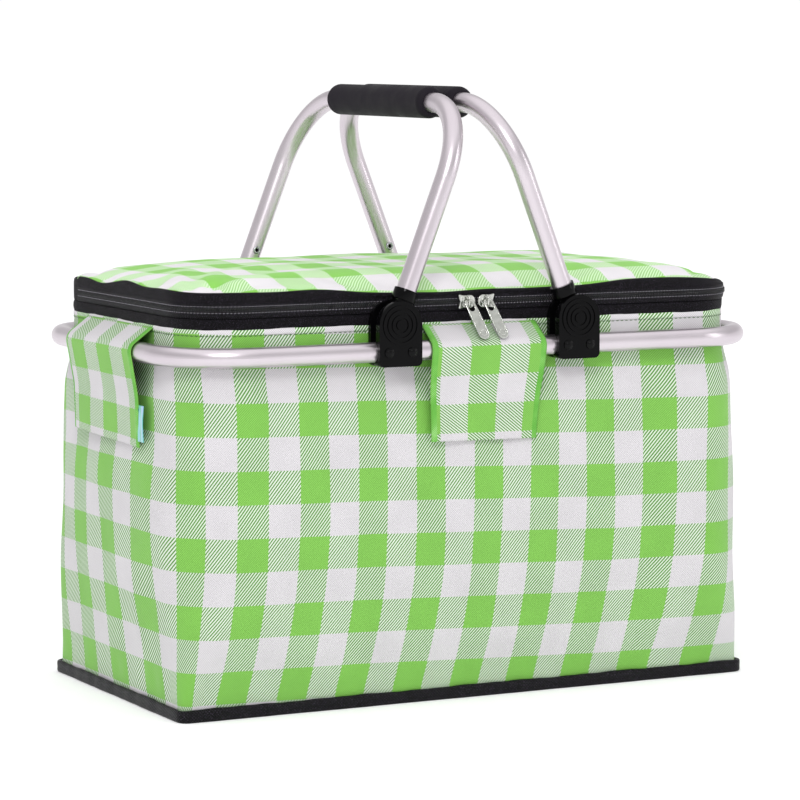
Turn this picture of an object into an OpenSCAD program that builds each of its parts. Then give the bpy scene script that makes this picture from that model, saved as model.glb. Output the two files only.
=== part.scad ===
// Insulated picnic basket: soft cooler bag hung in a folding aluminium frame with two swing handles.
// Millimetres, +Z up, length along X, front towards -Y, origin at the centre of the base on the floor.

/* [Bag] */
// Length of the base over its binding
base_length = 480; // [460:2:500]
// Depth of the base over its binding
base_depth = 248; // [240:2:256]
// Height of the seam where the wall fabric meets the black band
wall_top = 286; // [284:1:288]
// Height of the sewn binding round the base
binding_height = 10; // [8:1:14]
// Thickness of the woven outer fabric
fabric = 1.2; // [1:0.1:1.5]
// Thickness of the insulating foam in the walls
foam = 6; // [4:1:7]
// Thickness of the rigid board in the floor
board = 3; // [2:0.5:4]

/* [Lid] */
// Height of the black band between the wall and the crown of the lid
band_height = 25; // [24:1:27]
// Height of the crown of the lid above the band
lid_crown = 12; // [6:1:16]

/* [Frame] */
// Outer diameter of the aluminium tubes
tube_d = 15; // [14.6:0.1:15.2]
// Wall of the aluminium tubes
tube_wall = 1.2; // [1:0.1:1.6]
// Height of the rim tube's centreline
rim_height = 266; // [265:1:267]
// Corner radius of the rim tube's centreline
rim_corner = 56; // [50:1:60]
// Distance of each handle pivot from the middle of the basket
pivot_x = 75; // [73:1:78]
// Height of the pivots above the rim tube's centreline
pivot_rise = 20; // [20:0.5:21]
// Width of a hinge block
block_width = 35; // [34:1:36]

/* [Handles] */
// Length of a handle from its pivot to the middle of its grip
handle_length = 172; // [170:1:174]
// Bend radius of the handle tube's centreline
handle_bend = 58; // [50:1:60]
// Diameter of the foam grips
grip_d = 24; // [22:1:24]
// Length of the foam grips
grip_length = 160; // [140:5:160]

/* [Tabs] */
// Width of the front and rear tabs
tab_width = 96; // [80:2:100]
// Width of the tabs on the two ends
end_tab_width = 126; // [100:2:140]
// Height of the tabs' lower hem above the floor
tab_bottom = 197; // [190:1:202]

/* [Zip] */
// Rest position of the left slider along X
slider_left_x = -11; // [-16:1:-9]
// Rest position of the right slider along X
slider_right_x = 5; // [4:1:12]
// Length of a slider pull from its pivot
pull_length = 31; // [24:1:32]

/* [Hidden] */
$fn = 48;
gap = 0.3;
eps = 0.01;
// Larger than half of the whole part, for cutting
far = 400;

// Plan of the rim tube, and of the bag inside it
rim_x = base_length / 2 + 3;
rim_y = base_depth / 2 + 17;
tube_r = tube_d / 2;
band_x = rim_x - 10;
band_y = rim_y - 10.5;
band_r = rim_corner - 9.5;
band_top = wall_top + band_height;
zip_z = wall_top + band_height * 0.56;
zip_rear_y = band_y - band_r;
zip_half = 3.6;
coil_half = 1.7;
lid_under = zip_z + zip_half + 1;

// Wall levels from the base to the band: [height, half length, half depth, corner radius]
wall_levels = [
    [0, base_length / 2 - 3, base_depth / 2 - 3, 6],
    [binding_height + 2, base_length / 2 - 3, base_depth / 2 - 3, 6],
    [50, rim_x - 3.5, rim_y - 11, 24],
    [95, rim_x - 2, rim_y - 4, 40],
    [150, rim_x - 1.5, rim_y - 2, 46],
    [tab_bottom, rim_x - 2.5, rim_y - 2.5, 47],
    [rim_height - 35, rim_x - 4, rim_y - 4, 47],
    [rim_height - 7, rim_x - 9.2, rim_y - 9.4, 47],
    [wall_top - 0.3, band_x, band_y, band_r]
];

lining_t = 1.1;

// Handles: pivot, lean to the middle at rest, and the local heights along a leg
pivot_z = rim_height + pivot_rise;
grip_gap = 0.6;
lean = asin((pivot_x - (grip_d + grip_gap) / 2) / handle_length);
leg_top = handle_length - handle_bend;
tube_start = 22;
collar_start = 18.5;
collar_end = 26.5;
collar_r = 9;
plug_end = 50;
handle_rivet_v = 42;
tongue_r = 12;
tongue_t = 8;
slot_t = tongue_t + 2 * gap;
pin_r = 3;

// Hinge blocks: the inner face clears the bag, the outer face carries the rings
block_in = rim_y - 8.2;
block_out = rim_y + 10.5;
block_low = rim_height - 10.5;
slot_floor = rim_height + 5;
rivet_offset = 9.5;
rivet_r = 1.5;

// Tabs: profile in (outward, up) measured from the rim tube's centre
tab_t = 1.5;
tab_r = tube_r + 0.4 + tab_t / 2;
seam_out = -9.1;
seam_up = 17.5;
knee_out = 2.6;
knee_up = -33;
hem_out = 1.2;
peel_up = -10;
strip_t = 1.1;

// Slider and pull
slider_back = band_y + 1.15;
slider_face = slider_back + 2.8;
bridge_out = 4;
bridge_t = 1;
pull_axis_y = slider_face + (bridge_out - bridge_t) * 0.58;
pull_axis_z = zip_z;
pull_lean = 27;
pull_tilt = 14;
pull_t = 1.2;

green = [0.42, 0.78, 0.25];
black = [0.06, 0.06, 0.07];
alu = [0.80, 0.79, 0.81];
foam_white = [0.93, 0.93, 0.92];
foil = [0.78, 0.80, 0.82];

// ---------- shared shapes ----------
module rounded_rect(hl, hd, r) {
    square([2 * (hl - r), 2 * hd], center = true);
    square([2 * hl, 2 * (hd - r)], center = true);
    for (x = [-1, 1], y = [-1, 1]) translate([x * (hl - r), y * (hd - r)]) circle(r = r);
}

module rect_ring(hl, hd, r, t) {
    difference() {
        rounded_rect(hl, hd, r);
        rounded_rect(hl - t, hd - t, r - t);
    }
}

// A slab of one wall level, inset on every side
module level_slab(level, inset, z) {
    translate([0, 0, z]) linear_extrude(eps)
        offset(r = max(level[3] - inset, 2), $fn = 32)
            square([2 * (level[1] - max(level[3], inset + 2)), 2 * (level[2] - max(level[3], inset + 2))],
                center = true);
}

// The bag's wall as a solid, inset on every side and longer at both ends by extra
module wall_solid(inset, extra) {
    last = len(wall_levels) - 1;
    for (i = [0 : last - 1]) {
        low = wall_levels[i];
        high = wall_levels[i + 1];
        hull() {
            level_slab(low, inset, low[0] - (i == 0 ? extra : 0));
            level_slab(high, inset, high[0] + (i == last - 1 ? extra : 0) - eps);
        }
    }
}

module z_slice(z0, z1) {
    translate([-far, -far, z0]) cube([2 * far, 2 * far, z1 - z0]);
}

module ring2d() {
    difference() {
        circle(r = tube_r);
        circle(r = tube_r - tube_wall);
    }
}

module bar_x(x0, x1) {
    translate([x0, 0, 0]) rotate([90, 0, 90]) linear_extrude(x1 - x0) ring2d();
}

// Copies a shape made for the front (-Y) to the front or the rear
module at_side(rear) {
    mirror([0, rear ? 1 : 0, 0]) children();
}

// Copies a shape made for the left (-X) to the left or the right
module at_end(right) {
    mirror([right ? 1 : 0, 0, 0]) children();
}

// ---------- rim ----------
module rim_end() {
    straight_x = rim_x - rim_corner;
    straight_y = rim_y - rim_corner;
    color(alu) difference() {
        translate([0, 0, rim_height]) {
            for (s = [-1, 1]) {
                translate([0, s * rim_y, 0]) bar_x(-straight_x, -pivot_x - 0.5);
                translate([-straight_x, s * straight_y, 0])
                    rotate([0, 0, s < 0 ? 180 : 90])
                        rotate_extrude(angle = 90, $fn = 96) translate([rim_corner, 0]) ring2d();
            }
            translate([-rim_x, straight_y, 0]) rotate([90, 0, 0]) linear_extrude(2 * straight_y) ring2d();
        }
        for (s = [-1, 1]) translate([-pivot_x - rivet_offset, s * rim_y, rim_height]) rotate([90, 0, 0])
            cylinder(r = rivet_r + 0.05, h = 30, center = true);
    }
}

module rim_middle() {
    color(alu) difference() {
        translate([0, -rim_y, rim_height]) bar_x(-pivot_x + 0.5, pivot_x - 0.5);
        for (s = [-1, 1]) translate([s * (pivot_x - rivet_offset), -rim_y, rim_height]) rotate([90, 0, 0])
            cylinder(r = rivet_r + 0.05, h = 30, center = true);
    }
}

// ---------- hinge blocks, made for the front left corner ----------
module block_outline() {
    w = block_width / 2;
    translate([0, pivot_z]) circle(r = w, $fn = 72);
    translate([-w, block_low + 4]) square([block_width, pivot_z - block_low - 4]);
    translate([-w + 4, block_low]) square([block_width - 8, 8]);
    for (s = [-1, 1]) translate([s * (w - 4), block_low + 4]) circle(r = 4);
}

// Layer of the block between two distances from the middle of the bag
module block_layer(y0, y1) {
    translate([-pivot_x, -y0, 0]) rotate([90, 0, 0]) linear_extrude(y1 - y0) block_outline();
}

module y_cylinder(x, z, r, y0, y1) {
    translate([x, -y0, z]) rotate([90, 0, 0]) cylinder(r = r, h = y1 - y0);
}

module block_bores() {
    translate([-pivot_x - 50, -rim_y, rim_height]) rotate([0, 90, 0]) cylinder(r = tube_r + 0.05, h = 100);
    for (s = [-1, 1]) y_cylinder(-pivot_x + s * rivet_offset, rim_height, rivet_r + 0.02, block_in - 1, block_out + 1);
}

module block_outer() {
    color(black) difference() {
        union() {
            difference() {
                block_layer(rim_y + 0.03, block_out);
                translate([-pivot_x - 30, -rim_y - slot_t / 2, slot_floor]) cube([60, slot_t / 2 + 1, 60]);
            }
            for (r = [14.6, 11, 7.4]) difference() {
                y_cylinder(-pivot_x, pivot_z, r, block_out - 1, block_out + 0.9);
                y_cylinder(-pivot_x, pivot_z, r - 1.7, block_out - 2, block_out + 2);
            }
            y_cylinder(-pivot_x, pivot_z, 3.8, block_out - 1, block_out + 0.9);
        }
        block_bores();
        y_cylinder(-pivot_x, pivot_z, pin_r + 0.02, rim_y, block_out - 2);
    }
}

module block_inner() {
    color(black) difference() {
        block_layer(block_in, rim_y - 0.03);
        translate([-pivot_x - 30, -rim_y - 1, slot_floor]) cube([60, slot_t / 2 + 1, 60]);
        block_bores();
        y_cylinder(-pivot_x, pivot_z, pin_r + 0.02, block_in + 1, rim_y);
    }
}

module block_rivets() {
    color([0.10, 0.10, 0.11]) for (right = [false, true], rear = [false, true], s = [-1, 1])
        at_end(right) at_side(rear) {
            y_cylinder(-pivot_x + s * rivet_offset, rim_height, rivet_r, block_in, block_out);
            y_cylinder(-pivot_x + s * rivet_offset, rim_height, 3.2, block_out, block_out + 1);
        }
}

module pivot_pins() {
    color("silver") for (right = [false, true], rear = [false, true])
        at_end(right) at_side(rear) y_cylinder(-pivot_x, pivot_z, pin_r, block_in + 1.1, block_out - 2.1);
}

// ---------- handles, made upright over the left pivots and leant to the middle ----------
module leant() {
    translate([-pivot_x, 0, pivot_z]) rotate([0, lean, 0]) children();
}

module knuckle() {
    color(black) leant() translate([0, -rim_y, 0]) difference() {
        union() {
            rotate([90, 0, 0]) cylinder(r = tongue_r, h = tongue_t, center = true);
            translate([-6.5, -tongue_t / 2, 0]) cube([13, tongue_t, collar_start + 0.5]);
            translate([0, 0, collar_start]) cylinder(r = collar_r, h = collar_end - collar_start);
            translate([0, 0, collar_start]) cylinder(r = tube_r - tube_wall - 0.05, h = plug_end - collar_start);
        }
        rotate([90, 0, 0]) cylinder(r = pin_r + 0.06, h = 30, center = true);
        difference() {
            translate([0, 0, tube_start - 0.1]) cylinder(r = tube_r + 0.05, h = plug_end);
            translate([0, 0, tube_start - 1]) cylinder(r = tube_r - tube_wall - 0.05, h = plug_end + 2);
        }
        translate([0, 0, handle_rivet_v]) rotate([-90, 0, 0]) cylinder(r = 1.65, h = 20);
    }
}

module handle_tube() {
    color(alu) leant() difference() {
        union() {
            for (s = [-1, 1]) {
                translate([0, s * rim_y, tube_start]) linear_extrude(leg_top - tube_start) ring2d();
                mirror([0, s < 0 ? 1 : 0, 0]) translate([0, rim_y - handle_bend, leg_top]) rotate([90, 0, 90])
                    rotate_extrude(angle = 90, $fn = 96) translate([handle_bend, 0]) ring2d();
            }
            translate([0, rim_y - handle_bend, handle_length]) rotate([90, 0, 0])
                linear_extrude(2 * (rim_y - handle_bend)) ring2d();
        }
        for (s = [-1, 1]) translate([0, s * rim_y, handle_rivet_v]) rotate([s * 90, 0, 0])
            cylinder(r = 1.65, h = 20);
    }
}

module grip() {
    end_r = 5;
    r = grip_d / 2;
    h = grip_length / 2;
    color(black) leant() translate([0, 0, handle_length]) rotate([90, 0, 0]) difference() {
        union() {
            translate([0, 0, -h + end_r]) cylinder(r = r, h = grip_length - 2 * end_r);
            for (s = [0, 1]) mirror([0, 0, s]) translate([0, 0, h - end_r]) {
                rotate_extrude($fn = 64) translate([r - end_r, 0]) intersection() {
                    circle(r = end_r);
                    square(end_r + 1);
                }
                cylinder(r = r - end_r, h = end_r);
            }
        }
        translate([0, 0, -h - 1]) cylinder(r = tube_r + 0.02, h = grip_length + 2);
    }
}

module handle_rivets() {
    color("silver") leant() for (s = [-1, 1]) translate([0, s * rim_y, handle_rivet_v]) rotate([s * 90, 0, 0]) {
        translate([0, 0, 0.5]) cylinder(r = 1.6, h = tube_r);
        translate([0, 0, tube_r + 0.02]) cylinder(r = 3.1, h = 1);
    }
}

// ---------- bag ----------
module wall_fabric() {
    color(green) intersection() {
        difference() {
            wall_solid(0, 0);
            wall_solid(fabric, 2);
        }
        z_slice(fabric + 0.05, wall_top);
    }
}

module wall_foam() {
    color(foam_white) intersection() {
        difference() {
            wall_solid(fabric + 0.1, 0);
            wall_solid(fabric + foam, 2);
        }
        z_slice(fabric + board + 0.2, wall_top);
    }
}

module lining() {
    floor_z = fabric + board + 0.2;
    color(foil) intersection() {
        difference() {
            wall_solid(fabric + foam + 0.1, 0);
            intersection() {
                wall_solid(fabric + foam + lining_t, 2);
                z_slice(floor_z + lining_t, wall_top + 5);
            }
        }
        z_slice(floor_z, wall_top);
    }
}

module base_panel() {
    level = wall_levels[0];
    color(black) linear_extrude(fabric) rounded_rect(level[1], level[2], level[3]);
}

module base_board() {
    level = wall_levels[0];
    color("saddlebrown") translate([0, 0, fabric + 0.1]) linear_extrude(board)
        rounded_rect(level[1] - fabric - 0.5, level[2] - fabric - 0.5, level[3] - 2);
}

module base_binding() {
    color(black) linear_extrude(binding_height) rect_ring(base_length / 2, base_depth / 2, 8, 2.9);
}

// A band that follows the top of the bag, with its outer face set in by inset
module top_band(z0, z1, inset, t) {
    translate([0, 0, z0]) linear_extrude(z1 - z0) rect_ring(band_x - inset, band_y - inset, band_r - inset, t);
}

// Keeps the front and the two ends (rear = false) or the rear (rear = true)
module zip_side(rear) {
    intersection() {
        children();
        translate([-far, rear ? zip_rear_y + 0.2 : -far, 0])
            cube([2 * far, rear ? far : far + zip_rear_y - 0.2, 2 * far]);
    }
}

module body_band() {
    color(black) top_band(wall_top + 0.1, zip_z - zip_half - 0.1, 0, fabric);
}
module hinge_band() {
    color(black) zip_side(true) top_band(zip_z - zip_half, band_top - gap, 0, fabric);
}
module zip_tape_lower() {
    color(black) zip_side(false) top_band(zip_z - zip_half, zip_z - 0.15, 1, 0.8);
}
module zip_coil_lower() {
    color(black) zip_side(false) top_band(zip_z - coil_half, zip_z - 0.15, -0.7, 1.6);
}
module zip_tape_upper() {
    color(black) zip_side(false) top_band(zip_z + 0.15, zip_z + zip_half, 1, 0.8);
}
module zip_coil_upper() {
    color(black) zip_side(false) top_band(zip_z + 0.15, zip_z + coil_half, -0.7, 1.6);
}
module lid_band() {
    color(black) zip_side(false) top_band(zip_z + zip_half + 0.1, band_top, 0, fabric);
}

// Crowned solid of the lid above the band, inset on every side and lowered
module crown(inset, drop) {
    steps = [[0, 0.02], [8, 0.42], [24, 0.78], [60, 1]];
    hull() for (s = steps) translate([0, 0, band_top + 0.3 + lid_crown * s[1] - drop]) linear_extrude(eps)
        offset(r = max(band_r - s[0] - inset, 3), $fn = 32)
            square([2 * (band_x - inset - max(band_r, s[0] + 3)), 2 * (band_y - inset - max(band_r, s[0] + 3))],
                center = true);
}

module lid_cover() {
    color(green) difference() {
        crown(0, 0);
        translate([0, 0, -fabric]) crown(fabric, 0);
    }
}

module lid_foam() {
    color(foam_white) hull() {
        crown(2.2, fabric + 0.4);
        translate([0, 0, lid_under]) linear_extrude(eps)
            offset(r = band_r - 3, $fn = 32) square([2 * (band_x - band_r), 2 * (band_y - band_r)], center = true);
    }
}
module lid_lining() {
    color(foil) translate([0, 0, lid_under - 1]) linear_extrude(0.9)
        rounded_rect(band_x - 3, band_y - 3, band_r - 3);
}

// ---------- zip sliders and pulls ----------
module slider(x) {
    w = 12;
    h = 9.2;
    neck_w = 8;
    neck_t = 1.2;
    step = 0.9;
    bar_w = 2;
    bar_h = 8.8;
    post = 1.2;
    color("silver") translate([x, 0, zip_z]) {
        translate([-w / 2, -slider_face, -h / 2]) cube([w, slider_face - slider_back - step, h]);
        translate([-neck_w / 2, -slider_back - neck_t, -h / 2]) cube([neck_w, neck_t, h]);
        translate([-bar_w / 2, -slider_face - bridge_out, 0]) {
            for (z = [-bar_h / 2, bar_h / 2 - post]) translate([0, 0, z]) cube([bar_w, bridge_out + 0.1, post]);
            translate([0, 0, -bar_h / 2]) cube([bar_w, bridge_t, bar_h]);
        }
    }
}

// Flat pull with a slot that goes round the slider's bridge, leaning on the tab
module pull(x) {
    bar_r = 0.8;
    slot_w = 4.8;
    width = 7.6;
    color("silver") translate([x, -pull_axis_y, pull_axis_z]) rotate([-pull_lean, 0, 0]) rotate([0, -pull_tilt, 0]) {
        rotate([0, 90, 0]) cylinder(r = bar_r, h = width - 1, center = true);
        difference() {
            rotate([90, 0, 0]) linear_extrude(pull_t, center = true) {
                translate([-width / 2, -pull_length + width / 2]) square([width, pull_length - width / 2 + bar_r * 0.6]);
                translate([0, -pull_length + width / 2]) circle(r = width / 2);
            }
            translate([-slot_w / 2, -3, -7.5]) cube([slot_w, 6, 7.5 - bar_r * 0.6]);
            translate([0, 3, -pull_length + width / 2]) rotate([90, 0, 0]) cylinder(r = 1.6, h = 6);
        }
    }
}

// ---------- tabs, drawn as a profile (outward, up) about the rim tube's centre ----------
function tangent_angle(p, side) =
    atan2(p[1], p[0]) + side * acos(tab_r / norm(p));
function on_ring(a) = [tab_r * cos(a), tab_r * sin(a)];

top_angle = tangent_angle([seam_out, seam_up], -1);
low_angle = tangent_angle([knee_out, knee_up], 1);
knee_dir = on_ring(low_angle) - [knee_out, knee_up];
peel_out = knee_out + knee_dir[0] * (peel_up - knee_up) / knee_dir[1] + tab_t / 2;
hem_up = tab_bottom - rim_height;

// A straight strip of cloth between two points of the profile, longer by lap at its far end
module strip2d(p, q, t, lap = 0) {
    d = q - p;
    translate(p) rotate(atan2(d[1], d[0])) translate([0, -t / 2]) square([norm(d) + lap, t]);
}

module tab_profile() {
    strip2d([seam_out, seam_up], on_ring(top_angle), tab_t, 0.5);
    difference() {
        intersection() {
            circle(r = tab_r + tab_t / 2);
            polygon([[0, 0], 40 * [cos(top_angle), sin(top_angle)], [40, 0], 40 * [cos(low_angle), sin(low_angle)]]);
        }
        circle(r = tab_r - tab_t / 2);
    }
    strip2d([knee_out, knee_up], on_ring(low_angle), tab_t, 0.5);
    strip2d([knee_out, knee_up + 0.3], [hem_out, hem_up], tab_t);
}

// Sweeps a profile along a tab on the front (end = false) or on the left end (end = true)
module tab_sweep(end, width) {
    rotate([0, 0, end ? -90 : 0]) translate([-width / 2, -(end ? rim_x : rim_y), rim_height])
        rotate([90, 0, 90]) mirror([1, 0, 0]) linear_extrude(width) children();
}

module tab_top(end, width) {
    color(green) tab_sweep(end, width) difference() {
        tab_profile();
        translate([-50, peel_up + gap / 2 - 100]) square([100, 100]);
    }
}
module tab_flap(end, width) {
    color(green) tab_sweep(end, width) intersection() {
        tab_profile();
        translate([-50, peel_up - gap / 2 - 100]) square([100, 100]);
    }
}
// Point on the lower part of the tab, from the knee (0) to the hem (1)
function on_flap(k) = [knee_out, knee_up] * (1 - k) + [hem_out, hem_up] * k;

module hook_strip(end, width) {
    inward = [(tab_t + strip_t) / 2 + 0.04, 0];
    color("dimgray") tab_sweep(end, width - 12)
        strip2d(on_flap(0.1) - inward, on_flap(0.9) - inward, strip_t);
}
module loop_patch(end, width) {
    inset = end ? rim_x : rim_y;
    level = wall_levels[5];
    out = (end ? level[1] : level[2]) - inset + 0.25;
    side_margin = 5;
    hem_margin = 4;
    patch_h = 24;
    patch_t = 0.9;
    color("darkgray") tab_sweep(end, width - 2 * side_margin)
        translate([out, hem_up + hem_margin]) square([patch_t, patch_h]);
}
module loop_patches() {
    for (rear = [false, true]) at_side(rear) loop_patch(false, tab_width);
    for (right = [false, true]) at_end(right) loop_patch(true, end_tab_width);
}
module side_tag() {
    tag_w = 7;
    tag_h = 27;
    tag_t = 0.8;
    color("powderblue")
        translate([-rim_x - hem_out - gap, -end_tab_width / 2 - tag_w, tab_bottom + 3])
            cube([tag_t, tag_w - 0.02, tag_h]);
}

// ---------- assembly ----------
rim_end();  // rim_tube_left
at_end(true) rim_end();  // rim_tube_right
rim_middle();  // rim_tube_front
at_side(true) rim_middle();  // rim_tube_rear
block_outer();  // block_outer_front_left
at_end(true) block_outer();  // block_outer_front_right
at_side(true) block_outer();  // block_outer_rear_left
at_end(true) at_side(true) block_outer();  // block_outer_rear_right
block_inner();  // block_inner_front_left
at_end(true) block_inner();  // block_inner_front_right
at_side(true) block_inner();  // block_inner_rear_left
at_end(true) at_side(true) block_inner();  // block_inner_rear_right
block_rivets();
pivot_pins();
knuckle();  // knuckle_front_left
at_side(true) knuckle();  // knuckle_rear_left
at_end(true) knuckle();  // knuckle_front_right
at_end(true) at_side(true) knuckle();  // knuckle_rear_right
handle_tube();  // handle_tube_left
at_end(true) handle_tube();  // handle_tube_right
grip();  // grip_left
at_end(true) grip();  // grip_right
handle_rivets();  // handle_rivets_left
at_end(true) handle_rivets();  // handle_rivets_right
wall_fabric();
wall_foam();
lining();
base_panel();
base_board();
base_binding();
body_band();
hinge_band();
zip_tape_lower();
zip_coil_lower();
lid_cover();
lid_foam();
lid_lining();
lid_band();
zip_tape_upper();
zip_coil_upper();
slider(slider_left_x);  // slider_left
slider(slider_right_x);  // slider_right
pull(slider_left_x);  // pull_left
pull(slider_right_x);  // pull_right
tab_top(false, tab_width);  // tab_top_front
at_side(true) tab_top(false, tab_width);  // tab_top_rear
tab_top(true, end_tab_width);  // tab_top_left
at_end(true) tab_top(true, end_tab_width);  // tab_top_right
tab_flap(false, tab_width);  // tab_flap_front
at_side(true) tab_flap(false, tab_width);  // tab_flap_rear
tab_flap(true, end_tab_width);  // tab_flap_left
at_end(true) tab_flap(true, end_tab_width);  // tab_flap_right
hook_strip(false, tab_width);  // hook_strip_front
at_side(true) hook_strip(false, tab_width);  // hook_strip_rear
hook_strip(true, end_tab_width);  // hook_strip_left
at_end(true) hook_strip(true, end_tab_width);  // hook_strip_right
loop_patches();
side_tag();
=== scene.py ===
# Looks of the insulated picnic basket, in metres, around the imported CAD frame.
# +Z is up, the length runs along X, and the front faces -Y.
import math
from contextlib import contextmanager

import bmesh
import bpy
import numpy as np
from mathutils import Matrix, Vector, kdtree


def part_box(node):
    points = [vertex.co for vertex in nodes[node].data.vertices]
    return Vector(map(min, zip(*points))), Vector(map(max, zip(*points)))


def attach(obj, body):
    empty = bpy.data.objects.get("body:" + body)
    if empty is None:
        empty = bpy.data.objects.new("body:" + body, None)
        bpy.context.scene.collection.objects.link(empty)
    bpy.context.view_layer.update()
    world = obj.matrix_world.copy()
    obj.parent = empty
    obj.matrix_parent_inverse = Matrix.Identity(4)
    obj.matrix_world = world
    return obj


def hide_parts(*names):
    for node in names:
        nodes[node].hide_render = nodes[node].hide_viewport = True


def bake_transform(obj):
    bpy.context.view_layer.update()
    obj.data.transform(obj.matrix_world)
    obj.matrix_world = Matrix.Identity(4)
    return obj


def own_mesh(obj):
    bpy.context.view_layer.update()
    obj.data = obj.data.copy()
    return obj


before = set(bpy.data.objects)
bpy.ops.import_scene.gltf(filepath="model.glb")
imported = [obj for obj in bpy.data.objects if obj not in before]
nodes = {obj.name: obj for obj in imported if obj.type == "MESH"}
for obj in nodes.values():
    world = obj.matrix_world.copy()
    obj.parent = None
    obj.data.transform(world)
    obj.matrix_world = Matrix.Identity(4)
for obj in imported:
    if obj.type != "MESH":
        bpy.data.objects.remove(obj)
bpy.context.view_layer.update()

MM = 0.001
UP = np.array([0, 0, 1.0])
SIDES = {"front": (0, -1), "right": (1, 0), "rear": (0, 1), "left": (-1, 0)}

# ---------- sizes taken from the frame ----------
tube_low, tube_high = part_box("rim_tube_left")
TUBE_R = (tube_high.z - tube_low.z) / 2
RIM_X = -tube_low.x - TUBE_R
RIM_Y = tube_high.y - TUBE_R
RIM_Z = (tube_low.z + tube_high.z) / 2
band_low, band_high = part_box("body_band")
BAND_LOW = band_low.z
BAND_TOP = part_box("lid_band")[1].z
zip_low, zip_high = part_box("zip_tape_lower")
ZIP_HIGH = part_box("zip_tape_upper")[1].z
ZIP_Z = (zip_low.z + ZIP_HIGH) / 2
CORNER_GAP = 0.3 * MM
BAND_X, BAND_Y = band_high.x, band_high.y
BAND_R = BAND_Y - zip_high.y - CORNER_GAP
wall_low, wall_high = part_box("wall_fabric")
WALL_LOW, WALL_TOP = wall_low.z, wall_high.z
# How far the walls bulge past the base at the ends, and at the front and rear
END_BULGE, FRONT_BULGE = 4.5 * MM, 18 * MM
BASE_X, BASE_Y = wall_high.x - END_BULGE, wall_high.y - FRONT_BULGE
# Half length, half depth and corner radius of the outlines round the zip and the base
BAND = BAND_X, BAND_Y, BAND_R
BASE = BASE_X, BASE_Y, 6 * MM
SQUARE = 24.6 * MM


# ---------- outlines ----------
def outline(s, hl, hd, r):
    """Points and outward normals of a rounded rectangle, s metres from the middle of its front towards +X.

    Its half length is hl, its half depth hd and its corner radius r.
    """
    a, b, q = hl - r, hd - r, r * math.pi / 2
    knots = np.cumsum([0, a, q, 2 * b, q, 2 * a, q, 2 * b, q, a])
    s = np.mod(s, knots[-1])
    turn = np.radians(np.interp(s, knots, [-90, -90, 0, 0, 90, 90, 180, 180, 270, 270]))
    x = np.interp(s, knots, [0, a, a, a, a, -a, -a, -a, -a, 0])
    y = np.interp(s, knots, [-b, -b, -b, b, b, b, b, -b, -b, -b])
    normal = np.stack([np.cos(turn), np.sin(turn)], -1)
    return np.stack([x, y], -1) + r * normal, normal


def girth(hl, hd, r):
    return 4 * (hl + hd - 2 * r) + 2 * math.pi * r


def smoothstep(x, start, end):
    t = np.clip((np.asarray(x, float) - start) / (end - start), 0, 1)
    return t * t * (3 - 2 * t)


def bump(x, centre, width):
    return np.exp(-(((np.asarray(x, float) - centre) / width) ** 2))


# ---------- meshes ----------
def lattice(name, points, uv=None, close_rows=False, close_columns=False, caps=False):
    """Object from rows x columns of points. uv has one row or column more where the lattice closes."""
    rows, columns = points.shape[:2]
    i, j = np.meshgrid(
        np.arange(rows if close_rows else rows - 1),
        np.arange(columns if close_columns else columns - 1), indexing="ij")
    corners = [(i, j), (i, j + 1), (i + 1, j + 1), (i + 1, j)]
    faces = np.stack([(r % rows) * columns + c % columns for r, c in corners], -1).reshape(-1, 4).tolist()
    if caps:
        faces.append(list(range(columns))[::-1])
        faces.append([(rows - 1) * columns + c for c in range(columns)])
    mesh = bpy.data.meshes.new(name)
    mesh.from_pydata(points.reshape(-1, 3).tolist(), [], faces)
    if uv is not None:
        layer = mesh.uv_layers.new(name="weave")
        values = np.stack([uv[r, c] for r, c in corners], -2).reshape(-1)
        if caps:
            values = np.concatenate([values, points[0, ::-1, :2].ravel(), points[-1, :, :2].ravel()])
        layer.data.foreach_set("uv", values.astype(np.float32))
    return add(name, mesh)


def linked(name, data):
    obj = bpy.data.objects.new(name, data)
    bpy.context.scene.collection.objects.link(obj)
    return obj


def add(name, mesh, smooth=True):
    mesh.polygons.foreach_set("use_smooth", [smooth] * len(mesh.polygons))
    return linked(name, mesh)


def settle(obj):
    """Applies the object's modifiers, or turns a curve into a mesh."""
    bpy.context.view_layer.update()
    evaluated = obj.evaluated_get(bpy.context.evaluated_depsgraph_get())
    mesh = bpy.data.meshes.new_from_object(evaluated)
    name, materials, matrix = obj.name, list(obj.data.materials), obj.matrix_world.copy()
    bpy.data.objects.remove(obj)
    made = add(name, mesh)
    made.matrix_world = matrix
    if not mesh.materials:
        for material in materials:
            mesh.materials.append(material)
    return made


def join(name, objs):
    """One object from several, with their materials kept."""
    target = objs[0]
    with bpy.context.temp_override(active_object=target, selected_editable_objects=objs, object=target):
        bpy.ops.object.join()
    target.name = name
    return target


@contextmanager
def editing(obj):
    """The object's mesh for editing, written back at the end."""
    model = bmesh.new()
    model.from_mesh(obj.data)
    yield model
    model.to_mesh(obj.data)
    model.free()


def turn_out(obj):
    """Makes a closed mesh's normals point outwards."""
    with editing(obj) as model:
        bmesh.ops.recalc_face_normals(model, faces=model.faces)


def set_all(thing, **values):
    for key, value in values.items():
        setattr(thing, key, value)


def modify(obj, kind, **values):
    made = obj.modifiers.new(kind.lower(), kind)
    set_all(made, **values)
    return made


def positions(obj):
    return np.array([v.co for v in obj.data.vertices])


def move_to(obj, points):
    obj.data.vertices.foreach_set("co", points.astype(np.float32).ravel())


def paint(obj, material):
    obj.data.materials.clear()
    obj.data.materials.append(material)
    return obj


def dress(obj, material, slot, body, *replaced):
    """Material, body and replaced CAD nodes of a piece; slot is not used."""
    if material is not None:
        paint(obj, material)
    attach(obj, body)
    if replaced:
        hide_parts(*replaced)
    return obj


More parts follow.
